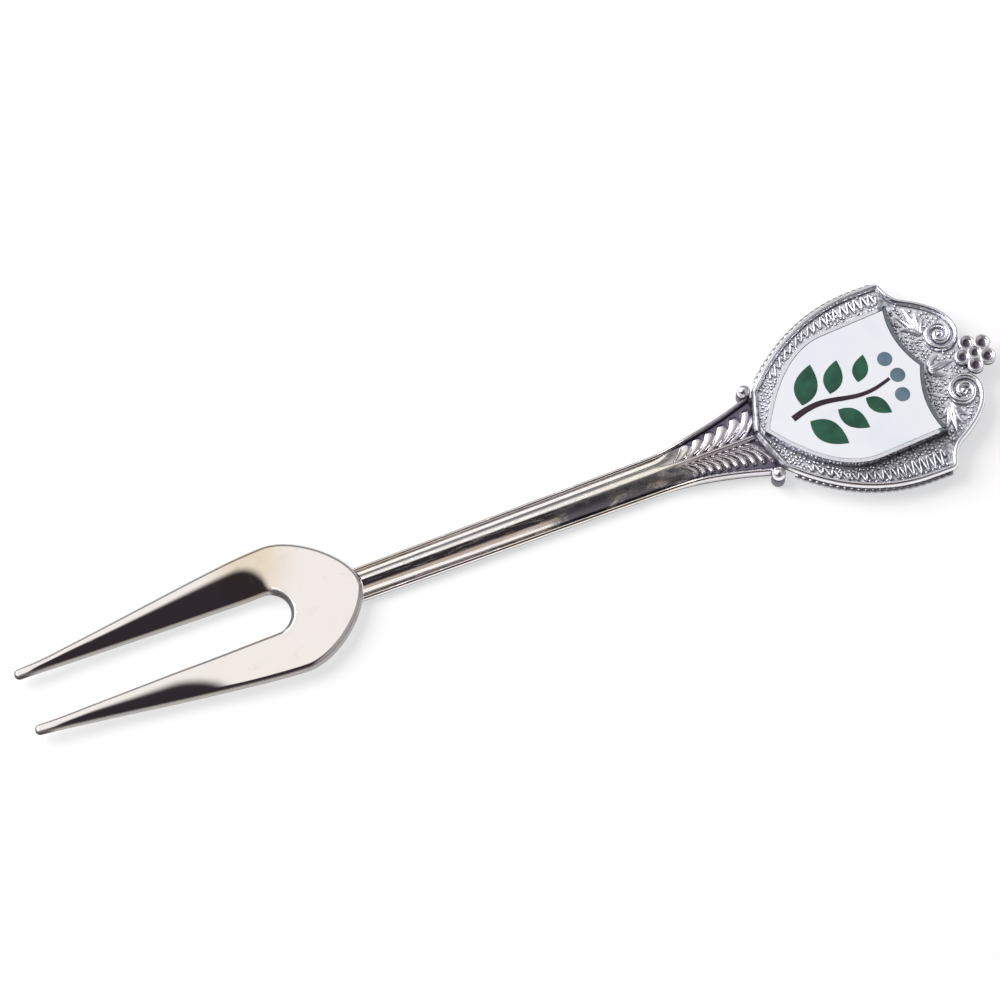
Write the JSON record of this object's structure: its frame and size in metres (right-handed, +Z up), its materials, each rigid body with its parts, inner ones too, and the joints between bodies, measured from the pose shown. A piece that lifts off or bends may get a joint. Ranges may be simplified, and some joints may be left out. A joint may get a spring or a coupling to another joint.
{
  "type": "appetizer fork",
  "caption": "Slim silver-plated appetizer fork: two-tined blade brazed to a half-round stem, leaf-struck flare and shield-shaped head with beaded wire, volutes, flower finial and enamel badge.",
  "frame": {"origin": "on the table, under the middle of the fork's length and width", "axes": "+X from the tine tips to the finial, +Y to the left of someone looking from the tines to the finial, +Z up out of the decorated face"},
  "size_m": [0.1147, 0.0246, 0.0039],
  "materials": {
    "polished_silver": "polished silver plate with fine handling scratches",
    "oxidised_silver": "silver plate, bright on the raised wires, darkened in the recesses",
    "badge_metal": "plated stamped tray with a bright edge",
    "white_enamel": "glossy white enamel",
    "green_enamel": "glossy dark green enamel",
    "brown_enamel": "glossy brown-black enamel",
    "slate_enamel": "glossy slate-blue enamel",
    "cement": "dull hardened cement"
  },
  "bodies": {
    "root": {"tine_blade": "polished_silver", "stem": "polished_silver", "back_plate": "oxidised_silver", "border_wire_left": "oxidised_silver", "border_wire_right": "oxidised_silver", "beaded_wire_left": "oxidised_silver", "beaded_wire_right": "oxidised_silver", "filigree_wire_left": "oxidised_silver", "filigree_wire_right": "oxidised_silver", "shoulder_bead_left": "oxidised_silver", "shoulder_bead_right": "oxidised_silver", "flower_finial": "oxidised_silver", "badge_cement": "cement", "badge_tray": "badge_metal", "white_enamel": "white_enamel", "brown_twig": "brown_enamel", "green_leaf_left_1": "green_enamel", "green_leaf_right_1": "green_enamel", "green_leaf_left_2": "green_enamel", "green_leaf_right_2": "green_enamel", "green_leaf_left_3": "green_enamel", "green_leaf_right_3": "green_enamel", "slate_berry_left": "slate_enamel", "slate_berry_middle": "slate_enamel", "slate_berry_right": "slate_enamel"}
  },
  "joints": []
}
